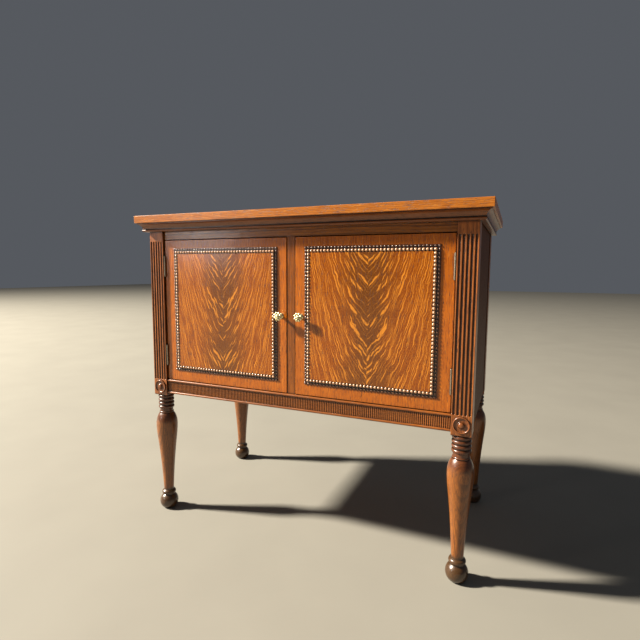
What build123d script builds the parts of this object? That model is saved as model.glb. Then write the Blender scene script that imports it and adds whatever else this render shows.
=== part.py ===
from build123d import *
import math
import os

# An oak server cabinet on four turned legs: a case with two flush doors between
# fluted posts, a moulded cornice under the top and a reeded apron under the doors.
# Millimetres. X runs to the right, Y to the back and Z up. The origin is on the
# floor, in the middle of the footprint.

# Overall sizes
cabinet_height = 965.0
top_width = 1058.0
top_depth = 543.0
top_thickness = 22.3
side_overhang = 32.0
front_overhang = 32.0
back_overhang = 9.0

# Rounding of the boards' edges
top_edge_round = 1.3
door_edge_round = 0.8
stile_edge_round = 0.6
shelf_edge_round = 1.0

# Legs: a square post above, turned below
post_side = 50.5
post_edge_round = 0.8
post_foot_round = 3.0
leg_height = 392.0
foot_flat_radius = 17.0
foot_ball_radius = 29.3
foot_ball_height = 46.0
ankle_collar_radius = 22.3
ankle_collar_height = 13.0
ankle_gap = 2.0
ankle_neck_radius = 18.5
ankle_radius = 15.7
vase_radius = 33.8
vase_widest_z = 284.0
vase_shoulder_height = 45.0
ring_count = 4
ring_pitch = 12.0
ring_radius = 24.9
ring_quirk_radius = 20.8
ring_quirk = 1.6
throat_ring_radius = 22.6
throat_ring_height = 6.0

# Flutes on the front posts
flute_count = 5
flute_pitch = 9.6
flute_radius = 2.95
flute_centre_proud = 0.3
flute_edge_round = 1.1
flute_find = 0.05
flute_top_margin = 55.7
flute_foot_margin = 53.0

# Turned rosettes on the front post blocks
rosette_rise = 29.0
rosette_radius = 21.5
rosette_base = 1.6
rosette_rim = 2.1
rosette_button_radius = 7.5
rosette_button_proud = 3.6

# Front rails and the centre stile
frieze_height = 50.2
frieze_depth = 22.5
frieze_recess = 7.5
apron_rise = 8.0
apron_height = 46.0
apron_recess = 8.0
apron_depth = 20.0
reed_pitch = 5.3
reed_proud = 2.6
apron_bead_height = 7.0
apron_bead_proud = 6.0
stile_width = 24.0
stile_recess = 8.2
stile_depth = 18.0
tenon_length = 25.0
tenon_thickness = 10.0
tenon_shoulder = 5.0
stile_tenon_length = 12.0

# Cornice under the top board, as offsets from the case faces and heights
cornice_height = 25.7
cornice_reach = 26.0
cornice_top_fillet = 3.0
cornice_cove_step = 0.4
cornice_cove_foot = 14.0
cornice_bead_height = 6.8
cornice_bead_reach = 15.4
cornice_quirk_reach = 11.2
cornice_quirk_height = 2.4

# Case panels and boards
side_panel_thickness = 18.0
side_panel_recess = 3.0
tongue_length = 8.0
tongue_thickness = 10.0
back_panel_thickness = 6.0
back_rebate = 8.0
back_rail_depth = 22.0
back_rail_height = 42.0
bottom_board_thickness = 18.0
shelf_thickness = 18.0
shelf_rise = 204.0
shelf_end_gap = 0.5
shelf_front_gap = 3.0
cleat_width = 20.0
cleat_end_gap = 10.5

# Doors
door_recess = 7.0
door_thickness = 20.0
door_hinge_gap = 2.5
door_stile_gap = 1.8
door_top_gap = 2.5
door_bottom_gap = 1.5

# Raised field and its bead frame; the margins run from the door's edges to the
# centre line of the large beads
bead_free_margin = 41.2
bead_hinge_margin = 47.5
bead_bottom_margin = 44.5
bead_top_margin = 38.0
large_bead_radius = 4.3
large_bead_centre_proud = 2.6
small_bead_offset = 9.0
small_bead_radius = 2.9
small_bead_centre_proud = 0.6
bead_strip_margin = 3.2
bead_strip_base = 1.5
field_core_thickness = 3.4
veneer_thickness = 1.0

# Knobs
knob_edge_distance = 17.7
knob_above_middle = 1.25
knob_rose_radius = 7.5
knob_rose_thickness = 1.8
knob_neck_radius = 4.2
knob_back_proud = 16.0
knob_front_proud = 24.0
knob_head_radius = 14.0
knob_lobe_count = 8
knob_button_radius = 4.6
knob_button_proud = 1.8
knob_face_dish = 0.8
knob_shoulder = 2.0
knob_lobe_round = 1.6
knob_flare_length = 3.0
knob_screw_radius = 2.0
knob_screw_head_radius = 4.5
knob_screw_head_height = 2.2
knob_screw_grip = 12.0

# Butt hinges
hinge_height = 63.5
hinge_top_margin = 80.5
hinge_bottom_margin = 79.0
hinge_leaf_depth = 24.0
hinge_leaf_thickness = 1.4
knuckle_count = 5
knuckle_radius = 2.9
knuckle_gap = 0.2
knuckle_post_gap = 0.3
knuckle_door_gap = 0.1
pin_radius = 1.5
pin_clearance = 0.05
pin_head_radius = 2.4
pin_head_height = 1.2

# Screws and catches
screw_head_radius = 2.8
screw_head_height = 1.3
screw_shank_radius = 1.4
hinge_screw_length = 16.0
hinge_screw_spread = 22.0
panel_screw_length = 20.0
panel_screw_columns = 5
cleat_screw_columns = 3
cleat_screw_length = 30.0
catch_width = 36.0
catch_depth = 20.0
catch_height = 12.0
catch_x = 36.0
catch_pole_gap = 0.2
strike_thickness = 1.2
strike_width = 28.0
strike_height = 10.0
catch_corner = 1.5

# How far a cutting solid runs past the face that it cuts
cut_margin = 1.0

# Planes and lines that the pieces share
case_half = top_width / 2 - side_overhang
case_front = -top_depth / 2 + front_overhang
case_back = top_depth / 2 - back_overhang
board_bottom_z = cabinet_height - top_thickness
post_x = case_half - post_side / 2
post_inner_x = case_half - post_side
front_post_y = case_front + post_side / 2
back_post_y = case_back - post_side / 2
post_behind_y = case_front + post_side
side_face_x = case_half - side_panel_recess
side_inner_x = side_face_x - side_panel_thickness
panel_front_y = case_back - back_panel_thickness
flute_bottom_z = leg_height + flute_foot_margin
flute_top_z = board_bottom_z - flute_top_margin
rosette_z = leg_height + rosette_rise
frieze_bottom_z = board_bottom_z - frieze_height
frieze_back_y = case_front + frieze_recess + frieze_depth
apron_bottom_z = leg_height + apron_rise
apron_top_z = apron_bottom_z + apron_height
apron_face_y = case_front + apron_recess
apron_back_y = apron_face_y + apron_depth
door_face_y = case_front + door_recess
door_back_y = door_face_y + door_thickness
door_hinge_x = post_inner_x - door_hinge_gap
door_free_x = stile_width / 2 + door_stile_gap
door_bottom_z = apron_top_z + door_bottom_gap
door_top_z = frieze_bottom_z - door_top_gap
shelf_top_z = apron_top_z + shelf_rise
pin_x = post_inner_x - knuckle_post_gap - knuckle_radius
pin_y = door_face_y - knuckle_door_gap - knuckle_radius
hinge_upper_z = door_top_z - hinge_top_margin
hinge_lower_z = door_bottom_z + hinge_bottom_margin
knob_x = door_free_x + knob_edge_distance
knob_z = (door_bottom_z + door_top_z) / 2 + knob_above_middle
bead_inner_x = door_free_x + bead_free_margin
bead_outer_x = door_hinge_x - bead_hinge_margin
bead_bottom_z = door_bottom_z + bead_bottom_margin
bead_top_z = door_top_z - bead_top_margin
bead_centre_x = (bead_inner_x + bead_outer_x) / 2
bead_centre_z = (bead_bottom_z + bead_top_z) / 2
bead_width = bead_outer_x - bead_inner_x
bead_height = bead_top_z - bead_bottom_z


def block(x0, x1, y0, y1, z0, z1):
    """A rectangular solid between two corners."""
    centre = Pos((x0 + x1) / 2, (y0 + y1) / 2, (z0 + z1) / 2)
    return centre * Box(abs(x1 - x0), abs(y1 - y0), abs(z1 - z0))


def left_of(part):
    """The mirror image of a right-hand piece."""
    return mirror(part, about=Plane.YZ)


def together(solids):
    """Separate solids kept in one node, such as a set of screws."""
    return Compound(children=[piece for item in solids for piece in item.solids()])


def rod(radius, length, start, direction):
    """A round bar from a start point along a direction."""
    return extrude(Plane(origin=start, z_dir=direction) * Circle(radius), length)


def turned(edges):
    """A solid turned about Z from its half outline."""
    return revolve(make_face(edges), Axis.Z)


def strip(profile, start, end, start_mitre, end_mitre, place):
    """A moulding: a profile run along local Z, with ends cut square (0) or mitred (1)."""
    box = profile.bounding_box()
    x0, x1 = box.min.X - cut_margin, box.max.X + cut_margin
    y0, y1 = box.min.Y - cut_margin, box.max.Y + cut_margin
    plan = Polyline(
        (x0, start - start_mitre * x0),
        (x1, start - start_mitre * x1),
        (x1, end + end_mitre * x1),
        (x0, end + end_mitre * x0),
        close=True,
    )
    flat = Plane(origin=(0, y0, 0), x_dir=(1, 0, 0), z_dir=(0, -1, 0))
    room = extrude(flat * make_face(plan), -(y1 - y0))
    reach = max(abs(x0), abs(x1)) + cut_margin
    run = extrude(Pos(0, 0, start - reach) * profile, end - start + 2 * reach)
    return place * (run & room)


def dome(edge_radius, low, high):
    """The half outline of a round cap, from its edge up to the axis."""
    rise = high - low
    radius = (edge_radius**2 + rise**2) / (2 * rise)
    half_angle = math.asin(edge_radius / radius) / 2
    middle = (radius * math.sin(half_angle), high - radius + radius * math.cos(half_angle))
    return ThreePointArc((edge_radius, low), middle, (0, high))


def screw(start, direction, length):
    """A countersunk wood screw: its head is flush with start, its shank runs along direction."""
    plane = Plane(origin=start, z_dir=direction)
    head = plane * Pos(0, 0, screw_head_height / 2) * Cone(
        screw_head_radius, screw_shank_radius, screw_head_height
    )
    return head + rod(screw_shank_radius, length, start, direction)


def turned_leg():
    """The turned part of a leg, from the floor to the square block, about Z."""
    collar_z = foot_ball_height + ankle_gap
    ankle_z = collar_z + ankle_collar_height
    rings_z = leg_height - ring_count * ring_pitch
    throat_z = vase_widest_z + vase_shoulder_height
    ankle_start = (ankle_radius, ankle_z + ankle_gap)
    hip = (0.945 * vase_radius, vase_widest_z - 0.6 * vase_shoulder_height)
    taper_mid = (0.455 * ankle_start[0] + 0.455 * hip[0], (ankle_start[1] + hip[1]) / 2)
    throat_top = throat_z + throat_ring_height
    edges = [
        Line((0, 0), (foot_flat_radius, 0)),
        ThreePointArc(
            (foot_flat_radius, 0),
            (foot_ball_radius, 0.56 * foot_ball_height),
            (ankle_neck_radius, foot_ball_height),
        ),
        Line((ankle_neck_radius, foot_ball_height), (ankle_neck_radius, collar_z)),
        ThreePointArc(
            (ankle_neck_radius, collar_z),
            (ankle_collar_radius, collar_z + ankle_collar_height / 2),
            (ankle_neck_radius, ankle_z),
        ),
        Line((ankle_neck_radius, ankle_z), ankle_start),
        ThreePointArc(ankle_start, taper_mid, hip),
        Spline(
            hip,
            (vase_radius, vase_widest_z),
            (0.925 * vase_radius, vase_widest_z + 0.6 * vase_shoulder_height),
            (throat_ring_radius, throat_z),
        ),
        Line((throat_ring_radius, throat_z), (ring_quirk_radius, throat_z)),
        ThreePointArc(
            (ring_quirk_radius, throat_z),
            (throat_ring_radius, throat_z + throat_ring_height / 2),
            (ring_quirk_radius, throat_top),
        ),
        Line((ring_quirk_radius, throat_top), (ring_quirk_radius, rings_z + ring_quirk / 2)),
    ]
    for index in range(ring_count):
        low = rings_z + index * ring_pitch + ring_quirk / 2
        high = rings_z + (index + 1) * ring_pitch - ring_quirk / 2
        widest = (ring_radius, (low + high) / 2)
        edges.append(ThreePointArc((ring_quirk_radius, low), widest, (ring_quirk_radius, high)))
        edges.append(Line((ring_quirk_radius, high), (ring_quirk_radius, high + ring_quirk)))
    top_z = leg_height + ring_quirk / 2
    edges.append(Line((ring_quirk_radius, top_z), (0, top_z)))
    edges.append(Line((0, top_z), (0, 0)))
    return turned([Plane.XZ * edge for edge in edges])


def flutes():
    """The five grooves cut into the front of a right-hand post, round at both ends."""
    cutters = []
    centre_y = case_front - flute_centre_proud
    for index in range(flute_count):
        x = post_x + (index - (flute_count - 1) / 2) * flute_pitch
        low = flute_bottom_z + flute_radius
        high = flute_top_z - flute_radius
        cutter = rod(flute_radius, high - low, (x, centre_y, low), (0, 0, 1))
        for z in (low, high):
            cutter += Pos(x, centre_y, z) * Sphere(flute_radius)
        cutters.append(cutter)
    return cutters


def fluted(part):
    """A post with its flutes cut and the sharp edges of the flutes eased."""
    part = part - flutes()
    on_face = part.edges().filter_by_position(Axis.Y, case_front - flute_find, case_front + flute_find)
    margin = post_edge_round + flute_find
    inside = on_face.filter_by_position(
        Axis.Z, flute_bottom_z - flute_find, flute_top_z + flute_find
    ).filter_by_position(Axis.X, post_inner_x + margin, case_half - margin)
    return fillet(inside, flute_edge_round)


def post(y_centre):
    """The square upper part and the turned leg below it, as one piece of oak."""
    square = block(
        case_half - post_side,
        case_half,
        y_centre - post_side / 2,
        y_centre + post_side / 2,
        leg_height,
        board_bottom_z,
    )
    square = fillet(square.edges().filter_by(Axis.Z), post_edge_round)
    square = fillet(square.faces().sort_by(Axis.Z)[0].edges(), post_foot_round)
    return square + Pos(post_x, y_centre, 0) * turned_leg()


def cross_tenon(y_middle, z0, z1):
    """The right-hand tenon on the end of a rail."""
    return block(
        post_inner_x,
        post_inner_x + tenon_length,
        y_middle - tenon_thickness / 2,
        y_middle + tenon_thickness / 2,
        z0 + tenon_shoulder,
        z1 - tenon_shoulder,
    )


def cornice_profile():
    """Fillet, cove, quirk and bead: X is the reach from the case, Y the height."""
    low = board_bottom_z - cornice_height
    bead_top = low + cornice_bead_height
    cove_low = (cornice_cove_foot, bead_top + cornice_quirk_height)
    cove_high = (cornice_reach - cornice_cove_step, board_bottom_z - cornice_top_fillet)
    cove_mid = (
        cove_low[0] + 0.30 * (cove_high[0] - cove_low[0]),
        cove_low[1] + 0.62 * (cove_high[1] - cove_low[1]),
    )
    bead_back = cornice_bead_reach - cornice_bead_height / 2
    edges = [
        Line((0, low), (bead_back, low)),
        ThreePointArc(
            (bead_back, low),
            (cornice_bead_reach, low + cornice_bead_height / 2),
            (bead_back, bead_top),
        ),
        Line((bead_back, bead_top), (cornice_quirk_reach, bead_top)),
        Line((cornice_quirk_reach, bead_top), (cornice_quirk_reach, cove_low[1])),
        Line((cornice_quirk_reach, cove_low[1]), cove_low),
        ThreePointArc(cove_low, cove_mid, cove_high),
        Line(cove_high, (cornice_reach, cove_high[1])),
        Line((cornice_reach, cove_high[1]), (cornice_reach, board_bottom_z)),
        Line((cornice_reach, board_bottom_z), (0, board_bottom_z)),
        Line((0, board_bottom_z), (0, low)),
    ]
    return make_face(edges)


def bead_profile():
    """A large and a small half-round side by side: X is outwards, Y is off the door face."""
    inner = -large_bead_radius
    outer = small_bead_offset + bead_strip_margin
    base_corners = [(inner, 0), (outer, 0), (outer, bead_strip_base), (inner, bead_strip_base)]
    base = make_face(Polyline(*base_corners, close=True))
    large = Pos(0, large_bead_centre_proud) * Circle(large_bead_radius)
    small = Pos(small_bead_offset, small_bead_centre_proud) * Circle(small_bead_radius)
    pedestal = Pos(0, large_bead_centre_proud / 2) * Rectangle(2 * large_bead_radius, large_bead_centre_proud)
    below = Pos(0, -large_bead_radius) * Rectangle(4 * outer, 2 * large_bead_radius)
    return base + large + small + pedestal - below


def reeded_apron():
    """The apron rail: a plain rail with tenons, and a band of upright reeds on its face."""
    rail = block(-post_inner_x, post_inner_x, apron_face_y, apron_back_y, apron_bottom_z, apron_top_z)
    for tenon in (apron_tenon, left_of(apron_tenon)):
        rail += tenon
    count = int(2 * post_inner_x / reed_pitch)
    start_x = -count * reed_pitch / 2
    front = []
    for index in range(count):
        x = start_x + index * reed_pitch
        front.append(
            ThreePointArc(
                (x, apron_face_y),
                (x + reed_pitch / 2, apron_face_y - reed_proud),
                (x + reed_pitch, apron_face_y),
            )
        )
    back_y = apron_face_y + cut_margin
    end_x = start_x + count * reed_pitch
    outline = front + [
        Line((end_x, apron_face_y), (end_x, back_y)),
        Line((end_x, back_y), (start_x, back_y)),
        Line((start_x, back_y), (start_x, apron_face_y)),
    ]
    low = apron_bottom_z + apron_bead_height
    band = Pos(0, 0, low) * extrude(make_face(outline), apron_height - 2 * apron_bead_height)
    return rail + band


def apron_bead(low_z):
    """A half-round moulding planted along the apron."""
    radius = apron_bead_height / 2
    nose_y = apron_face_y - apron_bead_proud + radius
    high_z = low_z + apron_bead_height
    bar = block(-post_inner_x, post_inner_x, nose_y, apron_face_y, low_z, high_z)
    nose = rod(radius, 2 * post_inner_x, (-post_inner_x, nose_y, low_z + radius), (1, 0, 0))
    behind = block(-post_inner_x, post_inner_x, apron_face_y, apron_back_y, low_z, high_z)
    return bar + nose - behind


def rosette():
    """A turned rosette about Y: a proud rim, a dished ring and a domed button."""
    rim_centre = rosette_radius - rosette_rim
    edges = [
        Line((0, 0), (rosette_radius, 0)),
        Line((rosette_radius, 0), (rosette_radius, rosette_base)),
        ThreePointArc(
            (rosette_radius, rosette_base),
            (rim_centre, rosette_base + rosette_rim),
            (rim_centre - rosette_rim, rosette_base),
        ),
        ThreePointArc(
            (rim_centre - rosette_rim, rosette_base),
            ((rim_centre - rosette_rim + rosette_button_radius) / 2, 0.35 * rosette_base),
            (rosette_button_radius, rosette_base),
        ),
        dome(rosette_button_radius, rosette_base, rosette_base + rosette_button_proud),
        Line((0, rosette_base + rosette_button_proud), (0, 0)),
    ]
    disc = turned([Plane.XZ * edge for edge in edges])
    return Pos(post_x, case_front, rosette_z) * Rot(90, 0, 0) * disc


def side_panel():
    """The right side of the case, tongued into the two posts."""
    heights = (apron_bottom_z, board_bottom_z)
    body = block(side_inner_x, side_face_x, post_behind_y, case_back - post_side, *heights)
    middle_x = (side_inner_x + side_face_x) / 2
    tongues = block(
        middle_x - tongue_thickness / 2,
        middle_x + tongue_thickness / 2,
        post_behind_y - tongue_length,
        case_back - post_side + tongue_length,
        *heights,
    )
    return body + tongues


def notched_board(front_y, back_y, gap, low_z, high_z):
    """A board that fills the case and is notched round the four posts."""
    half = side_inner_x - gap
    board = block(-half, half, front_y, back_y, low_z, high_z)
    for side in (-1, 1):
        inner, outer = side * (post_inner_x - gap), side * (half + cut_margin)
        heights = (low_z - cut_margin, high_z + cut_margin)
        board -= block(inner, outer, front_y - cut_margin, post_behind_y + gap, *heights)
        board -= block(inner, outer, case_back - post_side - gap, back_y + cut_margin, *heights)
    return board


def knob():
    """A cast knob about Y: rose, neck, a head of rounded lobes and a centre button."""
    head_height = knob_front_proud - knob_back_proud
    spread = math.sin(math.pi / knob_lobe_count)
    lobe_radius = knob_head_radius * spread / (1 + spread)
    lobe_ring = knob_head_radius - lobe_radius
    flare_low = knob_back_proud - knob_flare_length
    flare_high = knob_back_proud + knob_flare_length / 6
    dish_z = knob_front_proud - knob_face_dish
    edges = [
        Line((0, 0), (knob_rose_radius, 0)),
        Line((knob_rose_radius, 0), (knob_rose_radius, 0.4 * knob_rose_thickness)),
        ThreePointArc(
            (knob_rose_radius, 0.4 * knob_rose_thickness),
            (0.8 * knob_rose_radius, knob_rose_thickness),
            (knob_neck_radius, 1.4 * knob_rose_thickness),
        ),
        Line((knob_neck_radius, 1.4 * knob_rose_thickness), (knob_neck_radius, flare_low)),
        ThreePointArc(
            (knob_neck_radius, flare_low),
            (1.5 * knob_neck_radius, knob_back_proud - knob_flare_length * 4 / 15),
            (lobe_ring, flare_high),
        ),
        Line((lobe_ring, flare_high), (lobe_ring, knob_front_proud - knob_shoulder)),
        ThreePointArc(
            (lobe_ring, knob_front_proud - knob_shoulder),
            (0.75 * lobe_ring, dish_z + 0.1),
            (knob_button_radius, dish_z),
        ),
        dome(knob_button_radius, dish_z, knob_front_proud + knob_button_proud),
        Line((0, knob_front_proud + knob_button_proud), (0, 0)),
    ]
    body = turned([Plane.XZ * edge for edge in edges])
    for index in range(knob_lobe_count):
        angle = 2 * math.pi * index / knob_lobe_count
        centre = (lobe_ring * math.cos(angle), lobe_ring * math.sin(angle), knob_back_proud + head_height / 2)
        lobe = Pos(*centre) * Cylinder(lobe_radius, head_height - knob_shoulder)
        body += fillet(lobe.edges().filter_by(GeomType.CIRCLE), knob_lobe_round)
    return Pos(knob_x, door_face_y, knob_z) * Rot(90, 0, 0) * body


def knob_screw():
    """The machine screw that comes through the door from behind and holds the knob."""
    start = (knob_x, door_back_y, knob_z)
    shank = rod(knob_screw_radius, door_thickness + knob_screw_grip, start, (0, -1, 0))
    head = rod(knob_screw_head_radius, knob_screw_head_height, start, (0, 1, 0))
    return shank + fillet(head.edges().group_by(Axis.Y)[-1], 0.45 * knob_screw_head_height)


def knuckle(index, z_centre):
    """One barrel of a hinge, without its bore, and its lower and upper end."""
    pitch = hinge_height / knuckle_count
    low = z_centre - hinge_height / 2 + index * pitch + knuckle_gap / 2
    high = low + pitch - knuckle_gap
    return rod(knuckle_radius, high - low, (pin_x, pin_y, low), (0, 0, 1)), low, high


def hinge_leaf(z_centre, on_frame):
    """One leaf of a right-hand butt hinge: a plate let into the wood, and its knuckles."""
    low_z, high_z = z_centre - hinge_height / 2, z_centre + hinge_height / 2
    back_y = door_face_y + hinge_leaf_depth
    half = hinge_leaf_thickness / 2
    if on_frame:
        leaf = block(
            post_inner_x, post_inner_x + hinge_leaf_thickness, pin_y - half, back_y, low_z, high_z
        )
    else:
        leaf = block(door_hinge_x - hinge_leaf_thickness, door_hinge_x, door_face_y, back_y, low_z, high_z)
    for index in range(0 if on_frame else 1, knuckle_count, 2):
        barrel, low, high = knuckle(index, z_centre)
        leaf += barrel
        if on_frame:
            leaf += block(pin_x, post_inner_x + half, pin_y - half, pin_y + half, low, high)
        else:
            door_inner_x = door_hinge_x - hinge_leaf_thickness
            leaf += block(door_inner_x, door_hinge_x, pin_y, door_face_y + cut_margin, low, high)
    bore_start = (pin_x, pin_y, low_z - cut_margin)
    bore = rod(pin_radius + pin_clearance, hinge_height + 2 * cut_margin, bore_start, (0, 0, 1))
    return leaf - bore


def hinge_pin(z_centre):
    """The loose pin with its two small end caps."""
    low_z = z_centre - hinge_height / 2
    pin = rod(pin_radius, hinge_height, (pin_x, pin_y, low_z), (0, 0, 1))
    for z, side in ((low_z, -1), (low_z + hinge_height, 1)):
        cap = Pos(pin_x, pin_y, z + side * pin_head_height / 2) * Cylinder(pin_head_radius, pin_head_height)
        pin += fillet(cap.edges().group_by(Axis.Z)[-1 if side > 0 else 0], 0.8 * pin_head_height)
    return pin


def hinge_screws(z_centre, on_frame):
    """Three screws through one leaf, into the post or into the door's edge."""
    x = post_inner_x if on_frame else door_hinge_x
    y = door_face_y + hinge_leaf_depth / 2
    direction = (1, 0, 0) if on_frame else (-1, 0, 0)
    return [
        screw((x, y, z_centre + step * hinge_screw_spread), direction, hinge_screw_length)
        for step in (-1, 0, 1)
    ]


# Frame of the case, right-hand pieces first
apron_tenon = cross_tenon((apron_face_y + apron_back_y) / 2, apron_bottom_z, apron_top_z)
frieze_tenon = cross_tenon(
    case_front + frieze_recess + frieze_depth / 2, frieze_bottom_z, board_bottom_z
)
back_rail_y = (panel_front_y - back_rail_depth, panel_front_y)
back_rail_levels = {
    "upper": board_bottom_z - back_rail_height,
    "lower": apron_bottom_z,
}
panel = side_panel()
hinge_levels = (hinge_upper_z, hinge_lower_z)
frame_screws = [item for z in hinge_levels for item in hinge_screws(z, True)]
door_screws = [item for z in hinge_levels for item in hinge_screws(z, False)]
frame_leaves = [hinge_leaf(z, True) - hinge_screws(z, True) for z in hinge_levels]
door_leaves = [hinge_leaf(z, False) - hinge_screws(z, False) for z in hinge_levels]
pins = [hinge_pin(z) for z in hinge_levels]

front_post = fluted(post(front_post_y)) - apron_tenon - frieze_tenon - panel
leaf_recesses = [
    block(
        post_inner_x,
        post_inner_x + hinge_leaf_thickness,
        pin_y - hinge_leaf_thickness / 2,
        door_face_y + hinge_leaf_depth,
        z - hinge_height / 2,
        z + hinge_height / 2,
    )
    for z in hinge_levels
]
front_post = front_post - leaf_recesses - frame_screws

rebate = block(
    post_inner_x - cut_margin,
    post_inner_x + back_rebate,
    panel_front_y,
    case_back + cut_margin,
    apron_bottom_z,
    board_bottom_z,
)
back_post = post(back_post_y) - panel - rebate
back_rails = {}
for level, low_z in back_rail_levels.items():
    rail_tenon = cross_tenon(sum(back_rail_y) / 2, low_z, low_z + back_rail_height)
    rail = block(-post_inner_x, post_inner_x, *back_rail_y, low_z, low_z + back_rail_height)
    back_rails[level] = rail + rail_tenon + left_of(rail_tenon)
    back_post = back_post - rail_tenon

centre_y = case_front + stile_recess + stile_depth / 2
stile = block(
    -stile_width / 2,
    stile_width / 2,
    case_front + stile_recess,
    case_front + stile_recess + stile_depth,
    apron_top_z,
    frieze_bottom_z,
)
stile = fillet(stile.edges().filter_by(Axis.Z).group_by(Axis.Y)[0], stile_edge_round)
stile_tenon_y = (centre_y - tenon_thickness / 2, centre_y + tenon_thickness / 2)
stile_tenon_x = (-stile_width / 2 + tenon_shoulder, stile_width / 2 - tenon_shoulder)
stile_tenons = block(
    *stile_tenon_x,
    *stile_tenon_y,
    apron_top_z - stile_tenon_length,
    frieze_bottom_z + stile_tenon_length,
)
stile += stile_tenons

frieze = block(
    -post_inner_x, post_inner_x, case_front + frieze_recess, frieze_back_y, frieze_bottom_z, board_bottom_z
)
frieze += block(
    -post_inner_x,
    post_inner_x,
    case_front,
    frieze_back_y,
    board_bottom_z - cornice_height,
    board_bottom_z,
)
frieze = frieze + frieze_tenon + left_of(frieze_tenon) - stile_tenons
apron = reeded_apron() - stile_tenons

# Boards, panel and cleats inside the case
top_middle_z = cabinet_height - top_thickness / 2
top_board = Pos(0, 0, top_middle_z) * Box(top_width, top_depth, top_thickness)
top_board = fillet(top_board.edges(), top_edge_round)
bottom_board = notched_board(
    apron_back_y, back_rail_y[0], 0, apron_top_z - bottom_board_thickness, apron_top_z
)
shelf = notched_board(
    door_back_y + shelf_front_gap,
    panel_front_y - shelf_end_gap,
    shelf_end_gap,
    shelf_top_z - shelf_thickness,
    shelf_top_z,
)
shelf = fillet(shelf.faces().sort_by(Axis.Y)[0].edges().filter_by(Axis.X), shelf_edge_round)
panel_half = post_inner_x + back_rebate
back_panel = block(-panel_half, panel_half, panel_front_y, case_back, apron_bottom_z, board_bottom_z)
cleat_y = (post_behind_y + cleat_end_gap, case_back - post_side - cleat_end_gap)
cleat_length = cleat_y[1] - cleat_y[0]
cleat_steps = [
    cleat_y[0] + cleat_length * (index + 0.5) / cleat_screw_columns for index in range(cleat_screw_columns)
]
cleat_inner_x = side_inner_x - cleat_width
shelf_cleat_z = (shelf_top_z - shelf_thickness - cleat_width, shelf_top_z - shelf_thickness)
shelf_cleat = block(cleat_inner_x, side_inner_x, *cleat_y, *shelf_cleat_z)
top_cleat = block(cleat_inner_x, side_inner_x, *cleat_y, board_bottom_z - cleat_width, board_bottom_z)
shelf_cleat_screws = [
    screw((cleat_inner_x, y, sum(shelf_cleat_z) / 2), (1, 0, 0), cleat_screw_length) for y in cleat_steps
]
top_screws = [
    screw((side_inner_x - cleat_width / 2, y, board_bottom_z - cleat_width), (0, 0, 1), cleat_screw_length)
    for y in cleat_steps
]
shelf_cleat = shelf_cleat - shelf_cleat_screws
top_cleat = top_cleat - top_screws
panel = panel - shelf_cleat_screws
all_top_screws = top_screws + [left_of(item) for item in top_screws]
top_board = top_board - all_top_screws

back_screws = []
for column in range(panel_screw_columns):
    x = post_inner_x * (2 * (column + 0.5) / panel_screw_columns - 1)
    for low_z in back_rail_levels.values():
        start = (x, case_back, low_z + back_rail_height / 2)
        back_screws.append(screw(start, (0, -1, 0), panel_screw_length))
back_panel = back_panel - back_screws
for level in back_rails:
    back_rails[level] = back_rails[level] - back_screws

# Catches stand on the shelf and meet a strike plate on the back of each door
catch_front_y = door_back_y + strike_thickness + catch_pole_gap
catch = block(
    catch_x - catch_width / 2,
    catch_x + catch_width / 2,
    catch_front_y,
    catch_front_y + catch_depth,
    shelf_top_z,
    shelf_top_z + catch_height,
)
catch = chamfer(catch.edges().filter_by(Axis.Z), catch_corner)
strike = block(
    catch_x - strike_width / 2,
    catch_x + strike_width / 2,
    door_back_y,
    door_back_y + strike_thickness,
    shelf_top_z + (catch_height - strike_height) / 2,
    shelf_top_z + (catch_height + strike_height) / 2,
)

# Cornice
profile = cornice_profile()
cornice_front = strip(
    profile, -case_half, case_half, 1, 1, Plane(origin=(0, case_front, 0), x_dir=(0, -1, 0), z_dir=(-1, 0, 0))
)
cornice_side = strip(
    profile, -case_back, -case_front, 0, 1, Plane(origin=(case_half, 0, 0), x_dir=(1, 0, 0), z_dir=(0, -1, 0))
)

# Right-hand door: slab, raised field with two veneer leaves, and its bead frame
slab = block(door_free_x, door_hinge_x, door_face_y, door_back_y, door_bottom_z, door_top_z)
slab = fillet(slab.faces().sort_by(Axis.Y)[0].edges(), door_edge_round)
door_leaf_recesses = [
    block(
        door_hinge_x - hinge_leaf_thickness,
        door_hinge_x + cut_margin,
        door_face_y - cut_margin,
        door_face_y + hinge_leaf_depth,
        z - hinge_height / 2,
        z + hinge_height / 2,
    )
    for z in hinge_levels
]
the_knob_screw = knob_screw()
slab = slab - door_leaf_recesses - door_screws - the_knob_screw
the_knob = knob() - the_knob_screw

field_x = (bead_inner_x + large_bead_radius, bead_outer_x - large_bead_radius)
field_z = (bead_bottom_z + large_bead_radius, bead_top_z - large_bead_radius)
core_front_y = door_face_y - field_core_thickness
veneer_front_y = core_front_y - veneer_thickness
field_core = block(*field_x, core_front_y, door_face_y, *field_z)
veneer_free = block(field_x[0], bead_centre_x, veneer_front_y, core_front_y, *field_z)
veneer_hinge = block(bead_centre_x, field_x[1], veneer_front_y, core_front_y, *field_z)

# Each bead moulding: its length, a point on its line, the way it faces and the way it runs
bead_section = bead_profile()
bead_runs = {
    "bead_top": (bead_width, (bead_centre_x, door_face_y, bead_top_z), (0, 0, 1), (1, 0, 0)),
    "bead_bottom": (bead_width, (bead_centre_x, door_face_y, bead_bottom_z), (0, 0, -1), (-1, 0, 0)),
    "bead_hinge_side": (bead_height, (bead_outer_x, door_face_y, bead_centre_z), (1, 0, 0), (0, 0, -1)),
    "bead_free_side": (bead_height, (bead_inner_x, door_face_y, bead_centre_z), (-1, 0, 0), (0, 0, 1)),
}

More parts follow.
